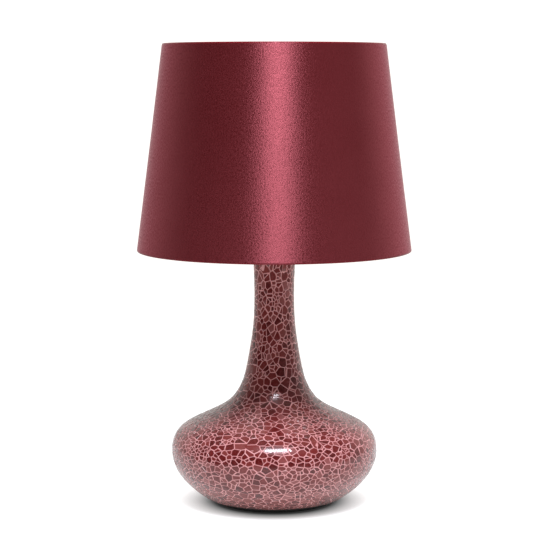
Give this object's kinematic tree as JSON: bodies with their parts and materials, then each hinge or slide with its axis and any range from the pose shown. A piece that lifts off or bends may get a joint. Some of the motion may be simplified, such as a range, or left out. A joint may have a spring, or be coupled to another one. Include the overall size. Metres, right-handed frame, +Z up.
{
  "type": "mosaic glass table lamp",
  "caption": "Table lamp with a flat-bellied long-necked vessel of crackled burgundy glass mosaic, a tapered satin shade, screw lampholder and turn switch.",
  "frame": {"origin": "on the table under the lamp's axis, at the underside of the felt", "axes": "+Z up along the lamp's axis; -Y is the front, +Y the cord channel and the shade's seam; +X the switch knob"},
  "size_m": [0.2148, 0.2149, 0.36],
  "materials": {
    "mosaic_glass": "gloss shards in pale pink grout",
    "clear_glass": "clear",
    "black_steel": "satin black enamel",
    "felt": "pressed felt",
    "rubber": "matte",
    "zinc_steel": "zinc plated",
    "brass": "satin",
    "phenolic": "moulded, semi-matte",
    "fibre": "vulcanised fibre",
    "nickel": "nickel plated",
    "insulator_glass": "opaque black",
    "phosphor": "coated",
    "circuit_board": "lacquered",
    "satin_fabric": "satin weave",
    "liner": "matte white",
    "shade_wire": "white enamel"
  },
  "bodies": {
    "stand": {"mosaic_skin": "mosaic_glass", "glass_vessel": "clear_glass", "base_plate": "black_steel", "felt_pad": "felt", "foot_gasket": "rubber", "threaded_tube": "zinc_steel", "foot_washer": "zinc_steel", "foot_lock_washer": "zinc_steel", "foot_nut": "zinc_steel", "neck_seat": "rubber", "neck_cap": "brass", "neck_nut": "brass", "hub_bushing": "brass", "set_screw": "zinc_steel", "holder_cap": "phenolic", "holder_body": "phenolic", "screw_shell": "nickel", "centre_contact": "brass", "terminal_screw_line": "brass", "terminal_screw_neutral": "nickel", "shell_rivet": "nickel", "switch_cheeks": "fibre", "switch_blade": "brass"},
    "switch": {"switch_spindle": "brass", "switch_cam": "fibre", "switch_knob": "phenolic"},
    "bulb_tip": {"bulb_contact": "nickel"},
    "bulb": {"bulb_cap": "nickel", "bulb_insulator": "insulator_glass", "bulb_glass": "clear_glass", "bulb_stem": "clear_glass", "bulb_filaments": "phosphor", "filament_wires": "nickel", "bulb_driver": "circuit_board"},
    "shade": {"shade_fabric": "satin_fabric", "shade_liner": "liner", "shade_seam": "satin_fabric", "top_hem": "satin_fabric", "bottom_hem": "satin_fabric", "top_ring": "shade_wire", "bottom_ring": "shade_wire", "spider_arm_1": "shade_wire", "spider_arm_2": "shade_wire", "spider_arm_3": "shade_wire", "fitter_plate": "shade_wire"},
    "shade_ring": {"shade_ring": "phenolic"}
  },
  "joints": [
    {"name": "switch_turn", "type": "hinge", "parent": "stand", "child": "switch", "pos_m": [0.029, 0, 0.229], "axis": [1, 0, 0], "continuous": true},
    {"name": "bulb_rise", "type": "slide", "parent": "stand", "child": "bulb_tip", "axis": [0, 0, 1], "range_m": [0, 0.11976]},
    {"name": "bulb_turn", "type": "hinge", "parent": "bulb_tip", "child": "bulb", "pos_m": [0, 0, 0.25], "axis": [0, 0, 1], "range_deg": [0, 11881]},
    {"name": "shade_lift", "type": "slide", "parent": "stand", "child": "shade", "axis": [0, 0, 1], "range_m": [0, 0.156]},
    {"name": "shade_ring_turn", "type": "hinge", "parent": "shade", "child": "shade_ring", "pos_m": [0, 0, 0.2453], "axis": [0, 0, 1], "range_deg": [0, 18721]}
  ],
  "couplings": [
    {"joint": "bulb_turn", "follows": "bulb_rise", "rad_per_m": 1731.4},
    {"joint": "shade_ring_turn", "follows": "shade_lift", "rad_per_m": 2094.4}
  ]
}
